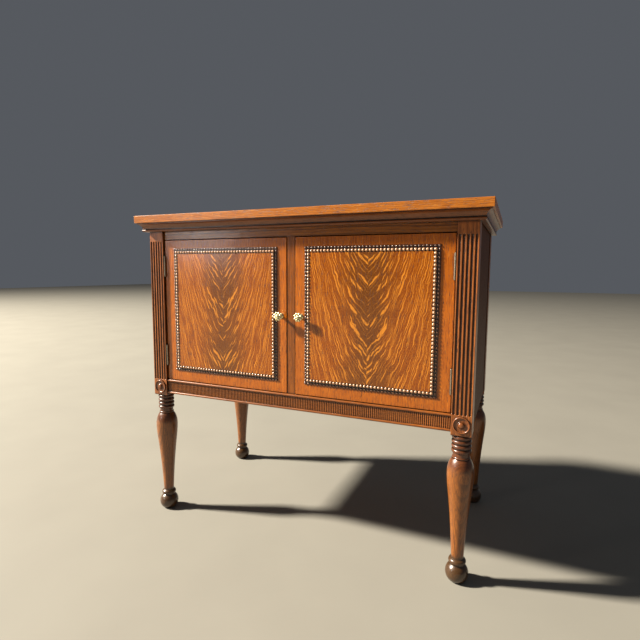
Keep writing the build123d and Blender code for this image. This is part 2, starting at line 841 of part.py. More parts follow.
# Every piece under the name of its node
parts = {
    "top_board": top_board,
    "cornice_front": cornice_front,
    "frieze_rail": frieze,
    "apron_rail": apron,
    "apron_bead_upper": apron_bead(apron_top_z - apron_bead_height),
    "apron_bead_lower": apron_bead(apron_bottom_z),
    "centre_stile": stile,
    "back_rail_upper": back_rails["upper"],
    "back_rail_lower": back_rails["lower"],
    "bottom_board": bottom_board,
    "shelf": shelf,
    "back_panel": back_panel,
    "top_screws": together(all_top_screws),
    "back_panel_screws": together(back_screws),
    "shelf_cleat_screws": together(shelf_cleat_screws + [left_of(item) for item in shelf_cleat_screws]),
    "hinge_post_screws": together(frame_screws + [left_of(item) for item in frame_screws]),
    "hinge_pins": together(pins + [left_of(item) for item in pins]),
    "door_catches": together([catch, left_of(catch)]),
}
paired = {
    "leg_front": front_post,
    "leg_back": back_post,
    "rosette": rosette(),
    "side_panel": panel,
    "cornice": cornice_side,
    "top_cleat": top_cleat,
    "shelf_cleat": shelf_cleat,
    "hinge_post_leaves": together(frame_leaves),
}
door = {
    "slab": slab,
    "field_core": field_core,
    "veneer_free_side": veneer_free,
    "veneer_hinge_side": veneer_hinge,
    "knob": the_knob,
    "knob_screw": the_knob_screw,
    "hinge_leaves": together(door_leaves),
    "hinge_screws": together(door_screws),
    "strike": strike,
}
for name, (length, middle, outwards, along) in bead_runs.items():
    place = Plane(middle, x_dir=outwards, z_dir=along)
    door[name] = strip(bead_section, -length / 2, length / 2, 1, 1, place)
for name, part in paired.items():
    parts[f"{name}_right"] = part
    parts[f"{name}_left"] = left_of(part)
for name, part in door.items():
    parts[f"door_right_{name}"] = part
    parts[f"door_left_{name}"] = left_of(part)

os.makedirs("parts", exist_ok=True)
for name, part in parts.items():
    export_step(part, f"parts/{name}.step")
print(len(parts), "nodes written")
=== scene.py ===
# %% [markdown]
# # An oak server cabinet
# The cabinet stands on four turned legs. Two flush doors hang between fluted posts, under a moulded
# cornice and over a reeded apron. The construction comes in as a fixed frame of real pieces. This
# script dresses it: each piece gets a finish, and the small carved and cast pieces are modelled anew.

# %% Load the frame
import math

import bpy
from mathutils import Matrix, Vector


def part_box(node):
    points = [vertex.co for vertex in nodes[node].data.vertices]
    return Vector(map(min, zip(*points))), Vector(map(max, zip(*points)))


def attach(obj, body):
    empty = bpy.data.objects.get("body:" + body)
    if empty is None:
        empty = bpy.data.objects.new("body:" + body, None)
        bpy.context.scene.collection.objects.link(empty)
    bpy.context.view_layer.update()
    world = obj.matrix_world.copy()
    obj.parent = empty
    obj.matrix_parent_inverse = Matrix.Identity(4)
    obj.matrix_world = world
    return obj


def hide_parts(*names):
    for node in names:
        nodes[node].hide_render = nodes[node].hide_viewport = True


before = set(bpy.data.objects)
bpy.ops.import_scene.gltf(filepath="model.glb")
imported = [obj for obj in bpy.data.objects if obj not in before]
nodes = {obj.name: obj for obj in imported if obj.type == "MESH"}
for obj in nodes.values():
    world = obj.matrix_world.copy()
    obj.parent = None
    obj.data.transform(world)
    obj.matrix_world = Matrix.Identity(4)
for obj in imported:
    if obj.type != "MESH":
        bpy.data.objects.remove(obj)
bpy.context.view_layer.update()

MM = 0.001

# %% [markdown]
# ## The camera
# A picture of a real object is matched best when the camera stands where the photographer stood. The
# place, the aim and the focal length below were worked out from the cabinet's corners in the photograph.
# The camera is turned by giving it three axes: right, up and back.

# %% Camera
photo_width = 640
focal_pixels = 459.874
sensor_width = 36.0
camera_place = Vector((0.58263, -1.38660, 0.79543))
camera_right = Vector((0.919243, 0.39365, 0.005618))
camera_forward = Vector((-0.390964, 0.914461, -0.10444))

bpy.ops.object.camera_add(location=camera_place)
camera = bpy.context.object
camera.name = "photo_camera"
camera_up = camera_right.cross(camera_forward)
axes = Matrix((camera_right, camera_up, -camera_forward)).transposed()
camera.rotation_euler = axes.to_euler()
camera.data.sensor_width = sensor_width
camera.data.lens = focal_pixels / photo_width * sensor_width
camera.data.clip_start = 0.02
bpy.context.scene.camera = camera
print("lens", round(camera.data.lens, 2), "mm")

# %% [markdown]
# ## Helpers for shader trees
# Every finish here is a tree of small nodes. A few helpers keep the trees short to read. They add any
# node, do a sum, make a soft threshold, mix two colours or two numbers, and stretch noise along the
# grain. The last two make a node group and place it, so that an effect is built once and used often.

# %% Shader helpers
def add_node(tree, kind, inputs=None, **settings):
    """One node. The settings are its options. The inputs are its sockets, each a value or a link."""
    made = tree.nodes.new(kind)
    for name, value in settings.items():
        setattr(made, name, value)
    for name, value in (inputs or {}).items():
        if isinstance(value, bpy.types.NodeSocket):
            tree.links.new(value, made.inputs[name])
        else:
            made.inputs[name].default_value = value
    return made


def calc(tree, operation, *values, clamp=False):
    """The result of one sum on one, two or three values."""
    sockets = dict(enumerate(values))
    return add_node(tree, "ShaderNodeMath", sockets, operation=operation, use_clamp=clamp).outputs[0]


def soft_step(tree, value, low, high, start=0.0, end=1.0):
    """A value that goes smoothly from start to end while the input goes from low to high."""
    sockets = {"Value": value, "From Min": low, "From Max": high, "To Min": start, "To Max": end}
    return add_node(tree, "ShaderNodeMapRange", sockets, interpolation_type="SMOOTHSTEP").outputs[0]


def blend(tree, factor, first, second, mode="MIX"):
    """Two colours mixed."""
    sockets = {0: factor, 6: first, 7: second}
    made = add_node(tree, "ShaderNodeMix", sockets, data_type="RGBA", blend_type=mode, clamp_factor=True)
    return made.outputs[2]


def blend_value(tree, factor, first, second):
    """Two numbers mixed."""
    return add_node(tree, "ShaderNodeMix", {0: factor, 2: first, 3: second}, data_type="FLOAT").outputs[0]


def stretched_noise(tree, vector, scale, detail=3.0, roughness=0.55, shift=(0, 0, 0)):
    """Noise whose spots are longer along one axis. The scale gives spots per metre on each axis."""
    placed = add_node(tree, "ShaderNodeMapping", {"Vector": vector, "Location": shift, "Scale": scale})
    sockets = {"Vector": placed.outputs[0], "Scale": 1.0, "Detail": detail, "Roughness": roughness}
    return add_node(tree, "ShaderNodeTexNoise", sockets).outputs[0]


def new_group(name, inputs, outputs):
    """An empty node group. Each input is (name, kind, default), and each output is (name, kind)."""
    tree = bpy.data.node_groups.new(name, "ShaderNodeTree")
    for label, kind, default in inputs:
        socket = tree.interface.new_socket(label, in_out="INPUT", socket_type="NodeSocket" + kind)
        if default is not None:
            socket.default_value = default
    for label, kind in outputs:
        tree.interface.new_socket(label, in_out="OUTPUT", socket_type="NodeSocket" + kind)
    return tree, tree.nodes.new("NodeGroupInput").outputs, tree.nodes.new("NodeGroupOutput").inputs


def put_group(tree, group, **inputs):
    """A group placed in a tree. The inputs are given by name, with _ for a space."""
    made = tree.nodes.new("ShaderNodeGroup")
    made.node_tree = group
    for name, value in inputs.items():
        socket = made.inputs[name.replace("_", " ")]
        if isinstance(value, bpy.types.NodeSocket):
            tree.links.new(value, socket)
        else:
            socket.default_value = value
    return made.outputs


# %% [markdown]
# ## What oak looks like
# Oak shows three things at three scales. Growth rings are bands some millimetres wide. Fibres are fine
# streaks along the grain. Pores are short dark dashes. All three are worked out in the solid, as in the
# real tree: the rings are cylinders round a pith, so a turned leg cut through them shows the same
# flames and arches that a real turned leg shows. The group expects a vector whose Z runs along the grain.

# %% Group: grain in the solid
grain_tree, given, out = new_group(
    "oak_grain",
    [
        ("Vector", "Vector", None),
        ("Pith X", "Float", 0.05),
        ("Pith Y", "Float", 0.08),
        ("Ring Gap", "Float", 0.0035),
        ("Wander", "Float", 0.006),
    ],
    [(label, "Float") for label in ("Rings", "Fibres", "Streaks", "Pores", "Blotch")],
)
solid = given["Vector"]
place = add_node(grain_tree, "ShaderNodeSeparateXYZ", {0: solid}).outputs
from_pith_x = calc(grain_tree, "SUBTRACT", place[0], given["Pith X"])
from_pith_y = calc(grain_tree, "SUBTRACT", place[1], given["Pith Y"])
square_sum = calc(
    grain_tree,
    "ADD",
    calc(grain_tree, "MULTIPLY", from_pith_x, from_pith_x),
    calc(grain_tree, "MULTIPLY", from_pith_y, from_pith_y),
)
wander_noise = stretched_noise(grain_tree, solid, (14, 14, 2.2), detail=2.0)
wander = calc(grain_tree, "MULTIPLY", calc(grain_tree, "SUBTRACT", wander_noise, 0.5), given["Wander"])
ring_radius = calc(grain_tree, "ADD", calc(grain_tree, "SQRT", square_sum), wander)
ring_count = calc(grain_tree, "DIVIDE", ring_radius, given["Ring Gap"])
ring_part = calc(grain_tree, "FRACT", ring_count)
late_wood = soft_step(grain_tree, ring_part, 0.25, 0.8)
next_spring = soft_step(grain_tree, ring_part, 0.86, 1.0, 1.0, 0.0)
year = calc(grain_tree, "FLOOR", ring_count)
year_luck = add_node(grain_tree, "ShaderNodeTexWhiteNoise", {"W": year}, noise_dimensions="1D").outputs[0]
year_strength = calc(grain_tree, "MULTIPLY_ADD", year_luck, 0.6, 0.4)
rings = calc(grain_tree, "MULTIPLY", calc(grain_tree, "MULTIPLY", late_wood, next_spring), year_strength)
grain_tree.links.new(rings, out["Rings"])
fine = stretched_noise(grain_tree, solid, (900, 900, 24), detail=2.0)
coarse = stretched_noise(grain_tree, solid, (260, 260, 7), detail=3.0, roughness=0.6, shift=(3, 5, 7))
half_fine = calc(grain_tree, "MULTIPLY", fine, 0.5)
half_coarse = calc(grain_tree, "MULTIPLY", coarse, 0.5)
grain_tree.links.new(calc(grain_tree, "ADD", half_fine, half_coarse), out["Fibres"])
dark_lines = stretched_noise(grain_tree, solid, (560, 560, 22), detail=3.0, roughness=0.65, shift=(6, 1, 4))
grain_tree.links.new(soft_step(grain_tree, dark_lines, 0.50, 0.62), out["Streaks"])
pore_noise = stretched_noise(grain_tree, solid, (850, 850, 55), detail=1.0, shift=(1, 2, 3))
pore_room = soft_step(grain_tree, ring_part, 0.0, 0.6, 0.58, 0.66)
pores = soft_step(grain_tree, calc(grain_tree, "SUBTRACT", pore_noise, pore_room), 0.0, 0.06)
grain_tree.links.new(pores, out["Pores"])
blotch = stretched_noise(grain_tree, solid, (16, 16, 5), detail=3.0, shift=(9, 4, 2))
grain_tree.links.new(blotch, out["Blotch"])
print("grain group has", len(grain_tree.nodes), "nodes")

# %% [markdown]
# ## Ray fleck
# Quarter-sawn oak is cut along its rays, and they lie on the surface as pale wavy ribbons with pointed
# ends. A Voronoi texture scatters one point to a cell. Each point becomes one ribbon: long in Z, narrow
# across, tapered to both ends, with a random width and length, and some of them left out.

# %% Group: ray fleck
fleck_tree, given, out = new_group(
    "ray_fleck",
    [
        ("Vector", "Vector", None),
        ("Across", "Float", 34.0),
        ("Along", "Float", 13.0),
        ("Width", "Float", 0.1),
        ("Length", "Float", 0.65),
        ("Cover", "Float", 0.7),
    ],
    [("Flecks", "Float")],
)
place = add_node(fleck_tree, "ShaderNodeSeparateXYZ", {0: given["Vector"]}).outputs
slanted = calc(fleck_tree, "MULTIPLY_ADD", place[1], 0.8, place[0])
across = calc(fleck_tree, "MULTIPLY", slanted, given["Across"])
along = calc(fleck_tree, "MULTIPLY", place[2], given["Along"])
cells = add_node(fleck_tree, "ShaderNodeCombineXYZ", {0: across, 1: along}).outputs[0]
scatter_inputs = {"Vector": cells, "Scale": 1.0}
scatter = add_node(fleck_tree, "ShaderNodeTexVoronoi", scatter_inputs, voronoi_dimensions="2D").outputs
ends = {0: cells, 1: scatter["Position"]}
from_point = add_node(fleck_tree, "ShaderNodeVectorMath", ends, operation="SUBTRACT").outputs[0]
offset = add_node(fleck_tree, "ShaderNodeSeparateXYZ", {0: from_point}).outputs
luck = add_node(fleck_tree, "ShaderNodeSeparateColor", {0: scatter["Color"]}).outputs
reach = calc(fleck_tree, "MULTIPLY", calc(fleck_tree, "MULTIPLY_ADD", luck[0], 0.6, 0.4), given["Length"])
share = calc(fleck_tree, "DIVIDE", offset[1], reach)
taper = calc(fleck_tree, "SUBTRACT", 1.0, calc(fleck_tree, "MULTIPLY", share, share), clamp=True)
random_width = calc(fleck_tree, "MULTIPLY_ADD", luck[2], 0.55, 0.45)
half_width = calc(fleck_tree, "MULTIPLY", random_width, given["Width"])
half_width = calc(fleck_tree, "MULTIPLY", half_width, taper)
is_there = calc(fleck_tree, "LESS_THAN", luck[1], given["Cover"])
half_width = calc(fleck_tree, "MULTIPLY", half_width, is_there)
inside = calc(fleck_tree, "SUBTRACT", half_width, calc(fleck_tree, "ABSOLUTE", offset[0]))
fleck_tree.links.new(soft_step(fleck_tree, inside, 0.0, 0.03), out["Flecks"])
print("fleck group has", len(fleck_tree.nodes), "nodes")

# %% [markdown]
# ## Painted shade and dirt in the recesses
# Grooves and quirks are painted nearly black: the shade that falls in them, partly old polish gathered there,
# while the high places stay bright. Ambient occlusion measures how closed in a point is, over a few
# millimetres.

# %% Group: painted shade and dirt in recesses
shade_and_dirt_tree, given, out = new_group(
    "recess_shade_and_dirt",
    [("Vector", "Vector", None), ("Reach", "Float", 0.006), ("Amount", "Float", 1.0)],
    [("Shade_And_Dirt", "Float")],
)
reach = {"Distance": given["Reach"]}
open_sky = add_node(shade_and_dirt_tree, "ShaderNodeAmbientOcclusion", reach, samples=6).outputs["AO"]
closed = soft_step(shade_and_dirt_tree, open_sky, 0.95, 0.5)
clumps = {"Vector": given["Vector"], "Scale": 90.0, "Detail": 3.0}
uneven = add_node(shade_and_dirt_tree, "ShaderNodeTexNoise", clumps).outputs[0]
uneven = calc(shade_and_dirt_tree, "MULTIPLY_ADD", uneven, 0.8, 0.6)
# Painted shade: the more closed in a point is, the darker, partly standing for real dirt.
shade_and_dirt = calc(shade_and_dirt_tree, "MULTIPLY", closed, uneven)
shade_and_dirt = calc(shade_and_dirt_tree, "MULTIPLY", shade_and_dirt, given["Amount"], clamp=True)
shade_and_dirt_tree.links.new(shade_and_dirt, out["Shade_And_Dirt"])
print("dirt group has", len(shade_and_dirt_tree.nodes), "nodes")

# %% [markdown]
# ## Polished oak
# The same recipe serves each board, with other colours, another direction and more or less fleck. The
# grain direction is set by handing the coordinates over in another order, so that the board's own
# length becomes Z. The polish is a thin clear coat over a half-matt ground, and the relief of the
# pores is a bump of two tenths of a millimetre.

# %% Oak material
def colour(hex_code):
    """A colour typed as on a paint chart, in the linear values that a shader wants."""
    channels = [int(hex_code[i : i + 2], 16) / 255 for i in (0, 2, 4)]
    linear = [c / 12.92 if c <= 0.04045 else ((c + 0.055) / 1.055) ** 2.4 for c in channels]
    return (*linear, 1.0)


GRAIN_ORDER = {"x": (1, 2, 0), "y": (2, 0, 1), "z": (0, 1, 2)}


def start_material(name):
    """A new material, its tree, its surface shader and its object coordinates."""
    material = bpy.data.materials.new(name)
    material.use_nodes = True
    tree = material.node_tree
    surface = tree.nodes["Principled BSDF"]
    coordinates = tree.nodes.new("ShaderNodeTexCoord").outputs["Object"]
    return material, tree, surface, coordinates


def along_grain(tree, coordinates, axis):
    """The coordinates in the order that puts the grain along Z."""
    split = add_node(tree, "ShaderNodeSeparateXYZ", {0: coordinates}).outputs
    order = GRAIN_ORDER[axis]
    return add_node(tree, "ShaderNodeCombineXYZ", {i: split[order[i]] for i in range(3)}).outputs[0]


def set_polish(surface, coat, coat_roughness):
    """The clear coat of a polished surface."""
    surface.inputs["Coat Weight"].default_value = coat
    surface.inputs["Coat Roughness"].default_value = coat_roughness
    surface.inputs["IOR"].default_value = 1.5


def wood_tone(tree, grain, contrast):
    """How pale the ground is: broad blotches and fine fibres together."""
    fibres = calc(tree, "MULTIPLY_ADD", grain["Fibres"], contrast, -0.6)
    return calc(tree, "MULTIPLY_ADD", grain["Blotch"], 0.9, fibres)


def finish_oak(tree, surface, grain, ground, roughness, relief, streaks=0.45):
    """Streaks, pores, roughness and relief over a ground colour."""
    lined = blend(tree, 1.0, ground, colour("9a6434"), "MULTIPLY")
    ground = blend(tree, calc(tree, "MULTIPLY", grain["Streaks"], streaks), ground, lined)
    deep = blend(tree, calc(tree, "MULTIPLY", grain["Pores"], 0.8), ground, colour("2a1206"))
    tree.links.new(deep, surface.inputs["Base Color"])
    rough = calc(tree, "MULTIPLY_ADD", grain["Fibres"], 0.22, roughness - 0.11)
    rough = calc(tree, "MULTIPLY_ADD", grain["Pores"], 0.2, rough)
    tree.links.new(rough, surface.inputs["Roughness"])
    height = calc(tree, "MULTIPLY", grain["Fibres"], 0.5)
    height = calc(tree, "MULTIPLY_ADD", grain["Streaks"], -0.3, height)
    height = calc(tree, "MULTIPLY_ADD", grain["Pores"], -1.0, height)
    bump = add_node(tree, "ShaderNodeBump", {"Height": height, "Strength": relief, "Distance": 0.0002})
    tree.links.new(bump.outputs[0], surface.inputs["Normal"])


def make_oak(
    name, axis, pale, deep, ring, fleck=None, fleck_size=(90, 22), cover=0.5, pith=(0.05, 0.08), gap=0.0035,
    ring_depth=0.6, shade_and_dirt=0.0, shade_and_dirt_reach=0.006, roughness=0.42, coat=0.35, coat_roughness=0.16, relief=0.35,
    shine=0.5,
):
    """A polished oak board whose grain runs along one axis."""
    material, tree, surface, coordinates = start_material(name)
    vector = along_grain(tree, coordinates, axis)
    grain = put_group(
        tree, grain_tree, Vector=vector, Pith_X=pith[0], Pith_Y=pith[1], Ring_Gap=gap, Wander=3 * gap
    )
    ground = blend(tree, wood_tone(tree, grain, 1.3), colour(deep), colour(pale))
    ground = blend(tree, calc(tree, "MULTIPLY", grain["Rings"], ring_depth), ground, colour(ring))
    if fleck:
        swerve = stretched_noise(tree, vector, (60, 60, 45), detail=2.0, shift=(2, 6, 1))
        swerve = calc(tree, "MULTIPLY", calc(tree, "SUBTRACT", swerve, 0.5), 0.008)
        bent = add_node(tree, "ShaderNodeVectorMath", {0: vector, 1: swerve}, operation="ADD").outputs[0]
        sizes = {"Across": fleck_size[0], "Along": fleck_size[1], "Width": 0.13, "Cover": cover}
        flecks = put_group(tree, fleck_tree, Vector=bent, **sizes)["Flecks"]
        ground = blend(tree, calc(tree, "MULTIPLY", flecks, 0.55), ground, colour(fleck))
    # Painted shade in closed-in places, darkened towards near black 140803, partly old polish.
    if shade_and_dirt:
        shade_and_dirt_mask = put_group(tree, shade_and_dirt_tree, Vector=coordinates, Reach=shade_and_dirt_reach, Amount=shade_and_dirt)["Shade_And_Dirt"]
        ground = blend(tree, shade_and_dirt_mask, ground, colour("140803"))
    finish_oak(tree, surface, grain, ground, roughness, relief)
    set_polish(surface, coat, coat_roughness)
    surface.inputs["Specular IOR Level"].default_value = shine
    return material


# %% [markdown]
# ## The boards of the case
# The top is a lighter board than the rest and has its grain along its length. The mouldings and the
# frieze are stained darker. The frieze comes from a plank with wide rings, so its face shows flat arches.
# The side panels were waxed and not varnished, and their dark brown is partly painted shade. Insides and the
# back were never polished.

# %% Case finishes
oak_top = make_oak(
    "oak_top", "x", "cc7c2c", "a45c18", "7a4012", fleck="d98f3c", fleck_size=(160, 26), cover=0.55, gap=0.004,
    roughness=0.3, coat=0.0, relief=0.6,
)
dark_tones = {"pale": "96531e", "deep": "643613", "ring": "41200c"}
oak_mould_x = make_oak("oak_mould_x", "x", **dark_tones, shade_and_dirt=1.0, shade_and_dirt_reach=0.006, roughness=0.3, coat=0.1)
oak_mould_y = make_oak("oak_mould_y", "y", **dark_tones, shade_and_dirt=1.0, shade_and_dirt_reach=0.006, roughness=0.3, coat=0.1)
oak_frieze = make_oak(
    "oak_frieze", "x", "a8641c", "784412", "3c1f09", pith=(-0.242, 0.935), gap=0.0075, ring_depth=0.85,
    shade_and_dirt=0.5, roughness=0.24, coat=0.15, relief=0.6,
)
oak_apron = make_oak(
    "oak_apron", "x", "a86024", "744016", "48240c", shade_and_dirt=1.0, shade_and_dirt_reach=0.006, roughness=0.3, coat=0.1
)
# Partly painted shade: the side panels are darker than the lit front.
oak_side = make_oak(
    "oak_side", "z", "6a3a1a", "502a12", "3b1e0c", fleck="7c4822", cover=0.4, roughness=0.55, coat=0.0,
    shine=0.1,
)
oak_back = make_oak("oak_back", "z", "8f6238", "6e4624", "55331a", gap=0.006, roughness=0.65, coat=0.0)
raw_tones = {"pale": "9a6c3e", "deep": "7c5028", "ring": "62401f"}
oak_inside_x = make_oak("oak_inside_x", "x", **raw_tones, gap=0.005, roughness=0.6, coat=0.0)
oak_inside_y = make_oak("oak_inside_y", "y", **raw_tones, gap=0.005, roughness=0.6, coat=0.0)
oak_door = make_oak(
    "oak_door", "z", "c66c16", "a2540c", "854009", fleck="d4842e", fleck_size=(130, 30), cover=0.4, gap=0.003,
    ring_depth=0.35, shade_and_dirt=0.8, shade_and_dirt_reach=0.008, roughness=0.24, coat=0.1, coat_roughness=0.12, relief=0.5,
)
oak_stile = make_oak(
    "oak_stile", "z", "9c5615", "7c420c", "623107", gap=0.003, shade_and_dirt=0.9, shade_and_dirt_reach=0.008, roughness=0.26,
    coat=0.1,
)
oak_rosette = make_oak(
    "oak_rosette", "z", "9c5a2a", "7a431e", "4c280f", shade_and_dirt=1.0, shade_and_dirt_reach=0.018, roughness=0.3, coat=0.3
)
print(len(bpy.data.materials), "materials so far")

# %% [markdown]
# ## Legs and posts
# The four legs share one material. Folding the coordinates about the cabinet's middle gives each leg
# its own pith at the same distance, with no need for four copies. The height tells post, vase and foot
# apart. The flutes of the front posts are painted dark: partly painted shade, partly old polish. Their depth
# behind the face finds them.

# %% Legs and posts
def middle_of(box, axis):
    """The middle of a box along one axis: 0, 1 or 2."""
    return (box[0][axis] + box[1][axis]) / 2


leg_x = middle_of(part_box("leg_front_right"), 0)
leg_front_y = middle_of(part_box("leg_front_right"), 1)
leg_back_y = middle_of(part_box("leg_back_right"), 1)
legs_middle_y = (leg_front_y + leg_back_y) / 2
legs_half_y = (leg_back_y - leg_front_y) / 2
post_face_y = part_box("rosette_right")[1].y
POST_STARTS = (0.39, 0.40)
VASE_ENDS = (0.315, 0.29)
VASE_STARTS = (0.06, 0.075)
FOOT_ENDS = (0.075, 0.062)
FLUTE_DEPTHS = (post_face_y + 0.2 * MM, post_face_y + 2.0 * MM)
flutes_end_y = post_face_y + 6 * MM
flutes_half_width = 21 * MM
leg_coat = 0.4


def make_leg_oak(name):
    """Dark polished oak with the rings placed round a pith beside each leg."""
    material, tree, surface, coordinates = start_material(name)
    split = add_node(tree, "ShaderNodeSeparateXYZ", {0: coordinates}).outputs
    across = calc(tree, "SUBTRACT", calc(tree, "ABSOLUTE", split[0]), leg_x)
    depth = calc(tree, "ABSOLUTE", calc(tree, "SUBTRACT", split[1], legs_middle_y))
    depth = calc(tree, "SUBTRACT", depth, legs_half_y)
    side = calc(tree, "MULTIPLY", calc(tree, "SIGN", split[0]), 0.37)
    height = calc(tree, "ADD", split[2], side)
    vector = add_node(tree, "ShaderNodeCombineXYZ", {0: across, 1: depth, 2: height}).outputs[0]
    grain = put_group(
        tree, grain_tree, Vector=vector, Pith_X=-0.02, Pith_Y=-0.062, Ring_Gap=0.0031, Wander=0.012
    )
    tone = wood_tone(tree, grain, 1.2)
    post = soft_step(tree, split[2], *POST_STARTS)
    vase = soft_step(tree, split[2], *VASE_ENDS)
    vase = calc(tree, "MULTIPLY", vase, soft_step(tree, split[2], *VASE_STARTS))
    foot = soft_step(tree, split[2], *FOOT_ENDS)
    ground = blend(tree, tone, colour("4e2610"), colour("74401c"))
    ground = blend(tree, post, ground, blend(tree, tone, colour("905022"), colour("bc7034")))
    ground = blend(tree, vase, ground, blend(tree, tone, colour("6c3c10"), colour("a5611f")))
    ground = blend(tree, foot, ground, blend(tree, tone, colour("38260f"), colour("5a3e20")))
    ground = blend(tree, calc(tree, "MULTIPLY", grain["Rings"], 0.7), ground, colour("43240f"))
    # Painted shade in the flutes, with some old polish: their bottoms darkened towards 34130a.
    flute_shade_and_polish = soft_step(tree, split[1], *FLUTE_DEPTHS)
    flute_shade_and_polish = calc(tree, "MULTIPLY", flute_shade_and_polish, calc(tree, "LESS_THAN", split[1], flutes_end_y))
    is_narrow = calc(tree, "LESS_THAN", calc(tree, "ABSOLUTE", across), flutes_half_width)
    flute_shade_and_polish = calc(tree, "MULTIPLY", calc(tree, "MULTIPLY", flute_shade_and_polish, is_narrow), post)
    ground = blend(tree, calc(tree, "MULTIPLY", flute_shade_and_polish, 0.8), ground, colour("34130a"))
    # Painted shade in every recess of the legs and posts, partly real dirt.
    shade_and_dirt_mask = put_group(tree, shade_and_dirt_tree, Vector=coordinates, Reach=0.008, Amount=1.0)["Shade_And_Dirt"]
    ground = blend(tree, shade_and_dirt_mask, ground, colour("120703"))
    finish_oak(tree, surface, grain, ground, 0.32, 0.3)
    set_polish(surface, leg_coat, 0.12)
    tree.links.new(calc(tree, "MULTIPLY_ADD", post, -leg_coat, leg_coat), surface.inputs["Coat Weight"])
    return material


oak_leg = make_leg_oak("oak_leg")
print("legs at x", round(leg_x, 4), "y", round(leg_front_y, 4), round(leg_back_y, 4))

# %% [markdown]
# ## Book-matched veneer
# The raised field of each door is one sheet of veneer opened like a book, so its two leaves mirror
# each other. At the outer edges the flecks stand nearly upright. They lean inwards as they go down, and
# at the seam they meet as a V. That flow is written as a height that every fleck keeps along its length:
# the real height, less a curve of the distance from the seam. The fleck group takes that height as its
# way across, so its ribbons follow the flow. Near the seam they are shorter, bolder and further apart,
# on a darker ground.

# %% Veneer
seam_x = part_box("door_right_veneer_free_side")[1].x
leaf_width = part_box("door_right_veneer_hinge_side")[1].x - seam_x
LONG_FLECKS = ((31, 12, 0.15, 0.8, 0.95), (43, 9, 0.13, 0.8, 0.75))
SHORT_FLECKS = ((36, 26, 0.19, 0.66, 0.75), (20, 19, 0.14, 0.6, 0.34))
FINE_FLECKS = (85, 20, 0.17, 0.7, 0.65)


def make_veneer(name):
    """Quarter-sawn oak whose flecks lean in to the seam."""
    material, tree, surface, coordinates = start_material(name)
    split = add_node(tree, "ShaderNodeSeparateXYZ", {0: coordinates}).outputs
    door_side = calc(tree, "SIGN", split[0])
    off_seam = calc(tree, "SUBTRACT", calc(tree, "ABSOLUTE", split[0]), seam_x)
    distance = calc(tree, "ABSOLUTE", off_seam)
    leaf_side = calc(tree, "SIGN", off_seam)
    seed = calc(tree, "MULTIPLY_ADD", door_side, 3.1, calc(tree, "MULTIPLY", leaf_side, 0.006))

    wide_vector = add_node(tree, "ShaderNodeCombineXYZ", {0: distance, 1: seed, 2: split[2]}).outputs[0]
    slow_waver = stretched_noise(tree, wide_vector, (15, 5, 10), detail=1.5)
    quick_waver = stretched_noise(tree, wide_vector, (70, 5, 55), detail=2.0)
    sway = stretched_noise(tree, wide_vector, (40, 5, 34), detail=2.5, shift=(4, 1, 2))
    sway_room = soft_step(tree, distance, 0.0, 0.03, 0.0, 0.011)
    sway = calc(tree, "MULTIPLY", calc(tree, "SUBTRACT", sway, 0.5), sway_room)
    bent = calc(tree, "ADD", distance, sway)
    curve = calc(tree, "MULTIPLY", calc(tree, "MULTIPLY", bent, bent), 2.2 / leaf_width)
    curve = calc(tree, "MULTIPLY_ADD", bent, 0.9, curve)
    flow = calc(tree, "SUBTRACT", split[2], curve)
    flow = calc(tree, "MULTIPLY_ADD", calc(tree, "SUBTRACT", slow_waver, 0.5), 0.06, flow)
    flow = calc(tree, "MULTIPLY_ADD", calc(tree, "SUBTRACT", quick_waver, 0.5), 0.012, flow)
    flow_vector = add_node(tree, "ShaderNodeCombineXYZ", {0: flow, 1: seed, 2: split[2]}).outputs[0]

    def fleck_layer(across, along, width, length, cover):
        sizes = {"Across": across, "Along": along, "Width": width, "Length": length, "Cover": cover}
        return put_group(tree, fleck_tree, Vector=flow_vector, **sizes)["Flecks"]

    near_seam = soft_step(tree, distance, 0.3 * leaf_width, 0.5 * leaf_width, 1.0, 0.0)
    long_flecks = calc(tree, "MAXIMUM", *[fleck_layer(*sizes) for sizes in LONG_FLECKS])
    short_flecks = calc(tree, "MAXIMUM", *[fleck_layer(*sizes) for sizes in SHORT_FLECKS])
    fine_flecks = calc(tree, "MULTIPLY", fleck_layer(*FINE_FLECKS), 0.45)
    flecks = calc(tree, "MAXIMUM", blend_value(tree, near_seam, long_flecks, short_flecks), fine_flecks)

    grain = put_group(
        tree, grain_tree, Vector=wide_vector, Pith_X=0.9, Pith_Y=0.2, Ring_Gap=0.004, Wander=0.02
    )
    speckle = stretched_noise(tree, wide_vector, (520, 1, 240), detail=3.0, roughness=0.7)
    heart_edge = calc(tree, "MULTIPLY_ADD", calc(tree, "SUBTRACT", slow_waver, 0.5), 0.11, distance)
    heart = soft_step(tree, heart_edge, 0.0, 0.115, 1.0, 0.0)
    ground = blend(tree, heart, colour("b8680a"), colour("8c5614"))
    shade = calc(tree, "MULTIPLY_ADD", speckle, 2.4, -0.9)
    ground = blend(tree, shade, blend(tree, 1.0, ground, colour("a8845e"), "MULTIPLY"), ground)
    pale = blend(tree, heart, colour("e58f28"), colour("d78626"))
    ground = blend(tree, calc(tree, "MULTIPLY", flecks, 0.85), ground, pale)
    finish_oak(tree, surface, grain, ground, 0.24, 0.35, streaks=0.25)
    set_polish(surface, 0.1, 0.1)
    return material


oak_veneer = make_veneer("oak_veneer")
print("seam at x", round(seam_x, 4), "leaf", round(leaf_width, 4))

# %% [markdown]
# ## The dark bead moulding
# The pearls are stained dark brown and painted almost black between, as shade. On top they are painted pale:
# a highlight, partly rubbed wear. The distance in front of the door tells the top of a pearl from its foot.
# The shade and dirt group darkens the rest.

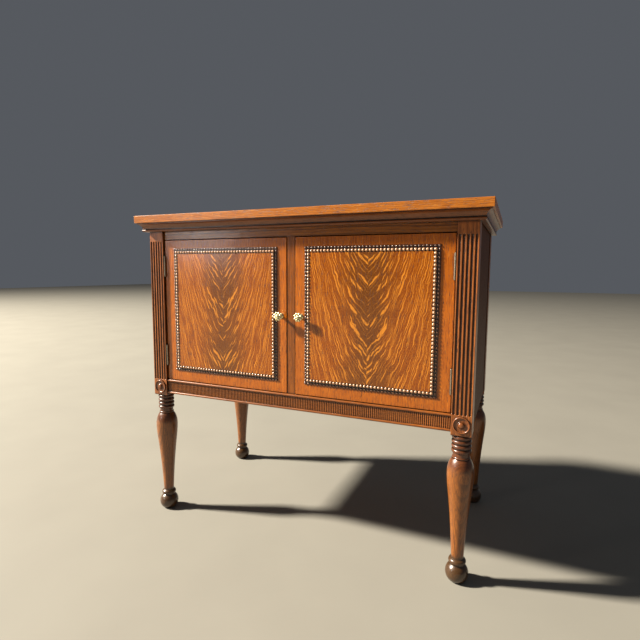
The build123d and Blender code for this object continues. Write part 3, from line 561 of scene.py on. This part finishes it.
# %% Bead finish
door_face_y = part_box("door_right_slab")[0].y
PEARL_WEAR_AND_HIGHLIGHT = (door_face_y - 2.4 * MM, door_face_y - 5.6 * MM)


def make_bead_oak(name):
    """Dark glossy moulding, with a painted highlight, partly rubbed wear, on the tops of the pearls."""
    material, tree, surface, coordinates = start_material(name)
    grain = put_group(tree, grain_tree, Vector=coordinates, Ring_Gap=0.003)
    depth = add_node(tree, "ShaderNodeSeparateXYZ", {0: coordinates}).outputs[1]
    patchy = stretched_noise(tree, coordinates, (70, 70, 70), detail=3.0)
    depth = calc(tree, "MULTIPLY_ADD", calc(tree, "SUBTRACT", patchy, 0.5), 0.004, depth)
    # The pale pearl tops are a painted highlight, partly rubbed wear.
    wear_and_highlight = soft_step(tree, depth, *PEARL_WEAR_AND_HIGHLIGHT)
    ground = blend(tree, grain["Fibres"], colour("3a1c0e"), colour("5a2f18"))
    ground = blend(tree, wear_and_highlight, ground, colour("c4946e"))
    # Painted shade between the pearls.
    shade_and_dirt_mask = put_group(tree, shade_and_dirt_tree, Vector=coordinates, Reach=0.004, Amount=1.0)["Shade_And_Dirt"]
    ground = blend(tree, shade_and_dirt_mask, ground, colour("120703"))
    finish_oak(tree, surface, grain, ground, 0.34, 0.15)
    set_polish(surface, 0.8, 0.2)
    return material


oak_bead = make_bead_oak("oak_bead")
print("door face at y", round(door_face_y, 4))

# %% [markdown]
# ## Metal and small parts
# The knobs are cast brass, polished on the high places and dull green in the creases. The hinges are
# steel gone brown. The catches are a dark moulded case.

# %% Metals
def plain_noise(tree, vector, scale, detail):
    """Noise with round spots."""
    sockets = {"Vector": vector, "Scale": scale, "Detail": detail}
    return add_node(tree, "ShaderNodeTexNoise", sockets).outputs[0]


def add_relief(tree, surface, height, strength, distance):
    """A bump from a height."""
    bump = add_node(tree, "ShaderNodeBump", {"Height": height, "Strength": strength, "Distance": distance})
    tree.links.new(bump.outputs[0], surface.inputs["Normal"])


def make_metal(name, bright, dull, roughness):
    """Handled metal: bright where it is rubbed, dull in the recesses."""
    material, tree, surface, coordinates = start_material(name)
    cloud = plain_noise(tree, coordinates, 260.0, 4.0)
    shade_and_dirt_mask = put_group(tree, shade_and_dirt_tree, Vector=coordinates, Reach=0.003, Amount=0.9)["Shade_And_Dirt"]
    spots = soft_step(tree, cloud, 0.52, 0.68)
    worn = calc(tree, "MAXIMUM", shade_and_dirt_mask, calc(tree, "MULTIPLY", spots, 0.35))
    tree.links.new(blend(tree, worn, colour(bright), colour(dull)), surface.inputs["Base Color"])
    tree.links.new(calc(tree, "MULTIPLY_ADD", worn, 0.35, roughness), surface.inputs["Roughness"])
    tree.links.new(calc(tree, "MULTIPLY_ADD", shade_and_dirt_mask, -0.35, 1.0), surface.inputs["Metallic"])
    add_relief(tree, surface, cloud, 0.12, 0.0002)
    return material


brass = make_metal("brass", "ece0b0", "5a5430", 0.36)
hinge_steel = make_metal("hinge_steel", "a39684", "2e2118", 0.36)
screw_steel = make_metal("screw_steel", "9a8f80", "33261c", 0.4)


def make_catch_case(name):
    """Dark moulded plastic with a fine texture."""
    material, tree, surface, coordinates = start_material(name)
    grit = plain_noise(tree, coordinates, 900.0, 2.0)
    tree.links.new(blend(tree, grit, colour("2b1c12"), colour("4a3323")), surface.inputs["Base Color"])
    tree.links.new(calc(tree, "MULTIPLY_ADD", grit, 0.2, 0.45), surface.inputs["Roughness"])
    add_relief(tree, surface, grit, 0.3, 0.0001)
    return material


catch_case = make_catch_case("catch_case")
print(len(bpy.data.materials), "materials now")

# %% [markdown]
# ## Give the frame's pieces their finish
# The pieces whose shape is already right keep it, and only take a material. A table of name beginnings
# says which finish goes where.

# %% Finishes for the frame's own pieces
FINISHES = [
    (oak_top, "oak_top", ("top_board",)),
    (oak_mould_x, "oak_dark", ("cornice_front",)),
    (oak_mould_y, "oak_dark", ("cornice_left", "cornice_right")),
    (oak_frieze, "oak_dark", ("frieze_rail",)),
    (oak_apron, "oak_dark", ("apron_",)),
    (oak_leg, "oak_dark", ("leg_", "rosette_")),
    (oak_side, "oak_dark", ("side_panel_",)),
    (oak_back, "oak_inside", ("back_panel",)),
    (oak_inside_x, "oak_inside", ("back_rail_", "bottom_board", "shelf")),
    (oak_inside_y, "oak_inside", ("shelf_cleat_", "top_cleat_")),
    (oak_stile, "oak_door", ("centre_stile",)),
    (oak_door, "oak_door", ("door_left_slab", "door_right_slab")),
    (oak_door, "oak_door", ("door_left_field", "door_right_field")),
    (oak_veneer, "oak_veneer", ("door_left_veneer", "door_right_veneer")),
    (oak_mould_x, "oak_bead", ("door_left_bead", "door_right_bead")),
    (brass, "brass", ("door_left_knob", "door_right_knob")),
    (hinge_steel, "hinge_metal", ("hinge_", "door_left_hinge", "door_right_hinge")),
    (screw_steel, "screw_steel", ("top_screws", "back_panel_screws", "shelf_cleat_screws")),
    (hinge_steel, "hinge_metal", ("door_left_strike", "door_right_strike")),
    (catch_case, "catch_case", ("door_catches",)),
]
for name, piece in nodes.items():
    for material, slot_name, beginnings in FINISHES:
        if name.startswith(beginnings):
            piece.data.materials.clear()
            piece.data.materials.append(material)
print("finishes given to", sum(1 for piece in nodes.values() if piece.data.materials), "pieces")

# %% [markdown]
# ## Modelling helpers
# The new pieces are drawn as by hand. A single point is set down and extruded from corner to corner,
# which draws half of a turned shape or the section of a moulding. A turned shape is then spun round
# its axis, and a moulding is pulled along its length and cut to a mitre at both ends.

# %% Modelling helpers
def draw_outline(name, points, closed=False):
    """A new object whose edges join the points, left in edit mode with all of it selected."""
    bpy.ops.object.select_all(action="DESELECT")
    bpy.ops.mesh.primitive_plane_add(size=MM)
    piece = bpy.context.object
    piece.name = name
    bpy.ops.object.mode_set(mode="EDIT")
    bpy.ops.mesh.merge(type="CENTER")
    corners = [Vector(point) for point in points]
    bpy.ops.transform.translate(value=corners[0])
    if closed:
        corners.append(corners[0])
    for last, corner in zip(corners, corners[1:]):
        bpy.ops.mesh.extrude_region_move(TRANSFORM_OT_translate={"value": corner - last})
    bpy.ops.mesh.select_all(action="SELECT")
    bpy.ops.mesh.remove_doubles(threshold=0.01 * MM)
    bpy.ops.mesh.select_all(action="SELECT")
    return piece


def close_piece(piece, angle=40.0):
    """Out of edit mode, normals outwards, and smooth where the surface turns gently."""
    bpy.ops.mesh.select_all(action="SELECT")
    bpy.ops.mesh.remove_doubles(threshold=0.01 * MM)
    bpy.ops.mesh.select_all(action="SELECT")
    bpy.ops.mesh.normals_make_consistent(inside=False)
    bpy.ops.object.mode_set(mode="OBJECT")
    bpy.ops.object.shade_smooth_by_angle(angle=math.radians(angle))
    return piece


def turn_on_lathe(name, outline, steps):
    """A turned piece about Z, from (radius, height) points in millimetres."""
    piece = draw_outline(name, [(radius * MM, 0, height * MM) for radius, height in outline])
    bpy.ops.mesh.spin(steps=steps, angle=2 * math.pi, center=(0, 0, 0), axis=(0, 0, 1))
    return close_piece(piece)


def pick(*pieces):
    """Only these objects selected, and the first of them active."""
    bpy.ops.object.select_all(action="DESELECT")
    for piece in pieces:
        piece.select_set(True)
    bpy.context.view_layer.objects.active = pieces[0]


def joined(pieces):
    """Several objects made one. The first keeps its name."""
    pick(*pieces)
    bpy.ops.object.join()
    return pieces[0]


def settle(piece):
    """The piece's place goes into its mesh, and its object to the origin."""
    pick(piece)
    bpy.ops.object.transform_apply(location=True, rotation=True, scale=True)
    return piece


def own_copy(piece, name):
    """A copy with a mesh of its own."""
    made = piece.copy()
    made.data = piece.data.copy()
    made.name = name
    bpy.context.scene.collection.objects.link(made)
    return made


def triangle_count(piece):
    """How many triangles the piece comes to."""
    return sum(len(face.vertices) - 2 for face in piece.data.polygons)


def put_in_place(piece, material, body, stands_for):
    """Finish, body and the frame's piece that this one stands for."""
    piece.data.materials.clear()
    piece.data.materials.append(material)
    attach(piece, body)
    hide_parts(stands_for)


# %% [markdown]
# ## Pearls and scallops
# The moulding round each field is a flat strip that carries a row of pearls, with a lower step outside
# it that carries a row of scallops. One pearl and one scallop are modelled from a ball: squeezed to
# size, and cut flat at the back. An array modifier repeats each along a side, at the spacing that fills
# it evenly.

# %% One half ball
pearl_pitch = 9.75 * MM
pearl_half = Vector((4.75, 4.3, 4.3)) * MM
pearl_proud = 2.6 * MM
scallop_half = Vector((4.6, 2.9, 2.9)) * MM
scallop_proud = 0.6 * MM
scallop_offset = 9.0 * MM
cut_depth = 0.3 * MM
bead_top_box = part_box("door_right_bead_top")
bead_side_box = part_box("door_right_bead_hinge_side")
strip_out = 12.2 * MM
frame_x = (bead_top_box[0].x + strip_out, bead_top_box[1].x - strip_out)
frame_z = (bead_side_box[0].z + strip_out, bead_side_box[1].z - strip_out)


def half_ball(name, half, proud):
    """A ball squeezed to three half sizes (along, across, off the door) and cut flat behind."""
    bpy.ops.object.select_all(action="DESELECT")
    bpy.ops.mesh.primitive_uv_sphere_add(segments=12, ring_count=7, radius=1)
    ball = bpy.context.object
    ball.name = name
    ball.rotation_euler = (math.pi / 2, 0, 0)
    ball.scale = half
    settle(ball)
    ball.location = (0, -proud, 0)
    settle(ball)
    bpy.ops.object.mode_set(mode="EDIT")
    bpy.ops.mesh.select_all(action="SELECT")
    bpy.ops.mesh.bisect(plane_co=(0, -cut_depth, 0), plane_no=(0, 1, 0), use_fill=True, clear_outer=True)
    return close_piece(ball, 60)


pearl_model = half_ball("pearl_model", pearl_half, pearl_proud)
scallop_model = half_ball("scallop_model", scallop_half, scallop_proud)
print("pearl faces", len(pearl_model.data.polygons), "frame", [round(v, 4) for v in frame_x + frame_z])

# %% [markdown]
# The strip is drawn as its section, pulled along one side and cut at 45 degrees at both corners. The
# rows are placed on it, and each side becomes one piece that stands for the plain moulding in the frame.

# %% The four sides of a bead frame
STRIP_SECTION = [
    (-4.3, 0), (-4.3, 2.0), (-3.7, 2.7), (3.7, 2.7), (4.5, 2.0), (4.9, 0.9), (6.0, 0.9), (6.4, 1.5),
    (11.4, 1.5), (12.2, 0.8), (12.2, 0),
]


def bead_row(model, name, start, along, length, skip_ends):
    """Copies of a half ball from one corner to the other, made with an array modifier."""
    spaces = round(length / pearl_pitch)
    step = along * (length / spaces)
    row = own_copy(model, name)
    row.rotation_euler = (0, 0, 0) if abs(along.x) > 0.5 else (0, math.pi / 2, 0)
    row.location = start + (step if skip_ends else Vector((0, 0, 0)))
    settle(row)
    array = row.modifiers.new("row", "ARRAY")
    array.use_relative_offset = False
    array.use_constant_offset = True
    array.constant_offset_displace = step
    array.count = spaces - 1 if skip_ends else spaces + 1
    bpy.ops.object.modifier_apply(modifier="row")
    return row


def bead_side(name, start, end, outwards, skip_ends):
    """One side of the frame between two corners of the pearls' line, both ends mitred."""
    along = (end - start).normalized()
    length = (end - start).length
    off_door = Vector((0, -1, 0))
    run_in = 20 * MM
    section = [start - along * run_in + outwards * p * MM + off_door * q * MM for p, q in STRIP_SECTION]
    strip = draw_outline(name, section, closed=True)
    bpy.ops.mesh.edge_face_add()
    bpy.ops.mesh.extrude_region_move(TRANSFORM_OT_translate={"value": along * (length + 2 * run_in)})
    for corner, way in ((start, -1), (end, 1)):
        bpy.ops.mesh.select_all(action="SELECT")
        cut = (along * way - outwards).normalized()
        bpy.ops.mesh.bisect(plane_co=corner, plane_no=cut, use_fill=True, clear_outer=True)
    close_piece(strip, 30)
    pearls = bead_row(pearl_model, name + "_pearls", start, along, length, skip_ends)
    shift = scallop_offset * (outwards - along)
    outer_length = length + 2 * scallop_offset
    scallops = bead_row(scallop_model, name + "_scallops", start + shift, along, outer_length, skip_ends)
    return joined([strip, pearls, scallops])


bead_triangles = 0
for hand, sign in (("left", -1), ("right", 1)):
    inner, outer = sign * frame_x[0], sign * frame_x[1]
    low, high = frame_z
    door = f"door_{hand}"
    sides = {
        "bead_top": ((inner, high), (outer, high), (0, 1), False),
        "bead_bottom": ((inner, low), (outer, low), (0, -1), False),
        "bead_hinge_side": ((outer, low), (outer, high), (sign, 0), True),
        "bead_free_side": ((inner, low), (inner, high), (-sign, 0), True),
    }
    for side, (start, end, outwards, skip_ends) in sides.items():
        corners = [Vector((x, door_face_y, z)) for x, z in (start, end)]
        side_out = Vector((outwards[0], 0, outwards[1]))
        piece = bead_side(f"{door}_pearl_{side}", *corners, side_out, skip_ends)
        put_in_place(piece, oak_bead, door, f"{door}_{side}")
        bead_triangles += triangle_count(piece)
for model in (pearl_model, scallop_model):
    bpy.data.objects.remove(model)
print("bead frames:", bead_triangles, "triangles")

# %% [markdown]
# ## Knobs
# Each knob is a cast brass flower on a short neck. The neck and the dished back are turned. Eight
# petals lie round a domed button, and their outer ends make the lobed rim. One petal is modelled and
# the others are copies of it turned round the axis.

# %% Knobs
KNOB_OUTLINE = [
    (0, 0), (7.4, 0), (7.5, 0.8), (6.6, 1.7), (5.0, 2.2), (4.3, 3.2), (3.9, 8.0),  # foot and neck
    (4.3, 12.4), (5.2, 14.2), (7.4, 15.6), (10.2, 16.8), (11.6, 18.2), (11.9, 19.8),  # back of the flower
    (11.0, 21.2), (8.6, 21.8), (5.6, 21.6),  # dish
    (5.3, 22.6), (4.9, 23.8), (4.0, 24.9), (2.3, 25.6), (0, 25.8),  # button
]
petal_count = 8
petal_ring = 8.9 * MM
petal_half = Vector((5.0, 3.35, 2.7)) * MM
petal_height = 20.9 * MM
petal_tilt = 0.16


def make_knob(name):
    """A knob on the Z axis, standing on the origin."""
    parts = [turn_on_lathe(name, KNOB_OUTLINE, 40)]
    for index in range(petal_count):
        turn = 2 * math.pi * (index + 0.5) / petal_count
        bpy.ops.mesh.primitive_uv_sphere_add(segments=20, ring_count=12, radius=1)
        petal = bpy.context.object
        petal.scale = petal_half
        petal.rotation_euler = (0, petal_tilt, turn)
        petal.location = (petal_ring * math.cos(turn), petal_ring * math.sin(turn), petal_height)
        bpy.ops.object.shade_smooth()
        parts.append(petal)
    return joined(parts)


for hand in ("left", "right"):
    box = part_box(f"door_{hand}_knob")
    knob = make_knob(f"door_{hand}_flower_knob")
    knob.rotation_euler = (math.pi / 2, 0, 0)
    knob.location = (middle_of(box, 0), door_face_y, middle_of(box, 2))
    settle(knob)
    put_in_place(knob, brass, f"door_{hand}", f"door_{hand}_knob")
print("knob triangles", triangle_count(knob))

# %% [markdown]
# ## Rosettes
# A turned rosette covers the block at the head of each front leg: a round rim, a dish, a thin ring and
# a domed button. More points on the outline than the frame's plain disc has give it crisper light.

# %% Rosettes
ROSETTE_OUTLINE = [
    (0, 0), (21.4, 0), (21.5, 1.5), (21.3, 2.6), (20.6, 3.4), (19.5, 3.7), (18.4, 3.4), (17.6, 2.6),  # rim
    (17.3, 1.5), (16.4, 1.0), (13.4, 0.6), (10.6, 0.7),  # dish
    (9.4, 1.2), (9.0, 1.9), (8.4, 2.1), (7.8, 1.8), (7.6, 1.3),  # ring
    (7.2, 2.4), (6.5, 3.6), (5.2, 4.5), (3.2, 5.0), (0, 5.2),  # button
]
for hand in ("left", "right"):
    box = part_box(f"rosette_{hand}")
    rosette = turn_on_lathe(f"turned_rosette_{hand}", ROSETTE_OUTLINE, 56)
    rosette.rotation_euler = (math.pi / 2, 0, 0)
    rosette.location = (middle_of(box, 0), post_face_y, middle_of(box, 2))
    settle(rosette)
    put_in_place(rosette, oak_rosette, "case", f"rosette_{hand}")
print("rosettes on the post face at y", round(post_face_y, 4))

# %% [markdown]
# ## The studio
# A plain pale floor, and soft light. The key light stands to the left and a little in front, so that
# mouldings and beads throw their shadows as in the photograph. A small weak fill comes from the front,
# and a dim bluish world fills the shadows. The Standard view keeps the warm colour of the oak.

# %% Floor and lights
floor_size = 40
bpy.ops.mesh.primitive_plane_add(size=floor_size, location=(0, 0, 0))
floor = bpy.context.object
floor.name = "floor"
floor_material, tree, surface, coordinates = start_material("pale_floor")
cloud = plain_noise(tree, coordinates, 3.0, 6.0)
tree.links.new(blend(tree, cloud, colour("7f7b72"), colour("8a867c")), surface.inputs["Base Color"])
surface.inputs["Roughness"].default_value = 0.8
floor.data.materials.append(floor_material)


def add_softbox(name, place, target, size, power, tint=(1, 1, 1)):
    """A square area light that faces a point."""
    bpy.ops.object.light_add(type="AREA", location=place)
    lamp = bpy.context.object
    lamp.name = name
    lamp.data.size = size
    lamp.data.energy = power
    lamp.data.color = tint
    lamp.rotation_euler = (Vector(target) - Vector(place)).to_track_quat("-Z", "Y").to_euler()
    return lamp


key_direction = Vector((-1.38, -0.475, 1.0)).normalized()
key_distance = 16.0
key_tint = (1.0, 0.93, 0.80)
fill_place = (-2.1, -2.6, 1.12)
middle = Vector((0, 0, 0.55))
add_softbox("key", middle + key_distance * key_direction, middle, 1.2, 10600, key_tint)
add_softbox("fill", fill_place, middle, 0.45, 6)
world = bpy.data.worlds.new("studio")
world.use_nodes = True
sky = world.node_tree.nodes["Background"].inputs
sky["Color"].default_value = (0.62, 0.67, 0.76, 1.0)
sky["Strength"].default_value = 0.15
bpy.context.scene.world = world
bpy.context.scene.view_settings.view_transform = "Standard"
